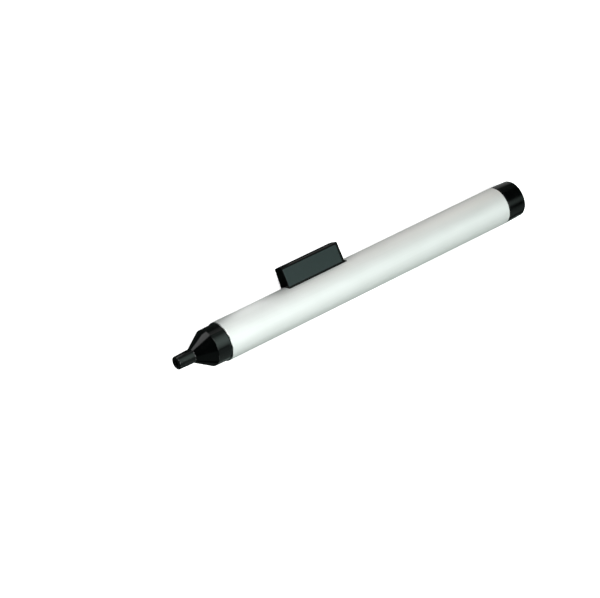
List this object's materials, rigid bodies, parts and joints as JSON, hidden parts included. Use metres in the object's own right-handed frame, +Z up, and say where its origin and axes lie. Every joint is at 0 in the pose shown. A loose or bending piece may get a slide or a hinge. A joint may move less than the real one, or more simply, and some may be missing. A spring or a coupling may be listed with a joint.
{
  "type": "vacuum pick up pen",
  "caption": "Slim aluminium pen with a black cone nozzle, a bar-shaped button and an end cap; the button squeezes a rubber tube inside, which sucks small parts onto the tip as it recovers.",
  "frame": {"origin": "middle of the pen's bounding box at floor level, with the pen lying on its barrel and on one long top edge of its button", "axes": "+X along the barrel from the nozzle to the end cap, +Y level towards the side that the button points to, +Z up from the floor"},
  "size_m": [0.143, 0.019, 0.013],
  "materials": {
    "barrel": "fine bead-blasted, clear anodised, satin silver",
    "nozzle": "moulded black plastic, semi-gloss",
    "tube": "soft black rubber, matte",
    "plug": "moulded black plastic, matte",
    "button": "moulded black plastic, satin sides",
    "cap": "moulded black plastic, glossy"
  },
  "bodies": {
    "body": {"barrel": "barrel", "nozzle": "nozzle", "squeeze_tube": "tube", "tube_plug": "plug", "end_cap": "cap"},
    "button": {"button": "button"}
  },
  "joints": [
    {"name": "button_press", "type": "slide", "parent": "body", "child": "button", "axis": [0, -0.9285, 0.3714], "range_m": [0, 0.0045], "stiffness_N_per_m": 1500, "springref_m": -0.0006, "deforming": ["squeeze_tube"]}
  ]
}
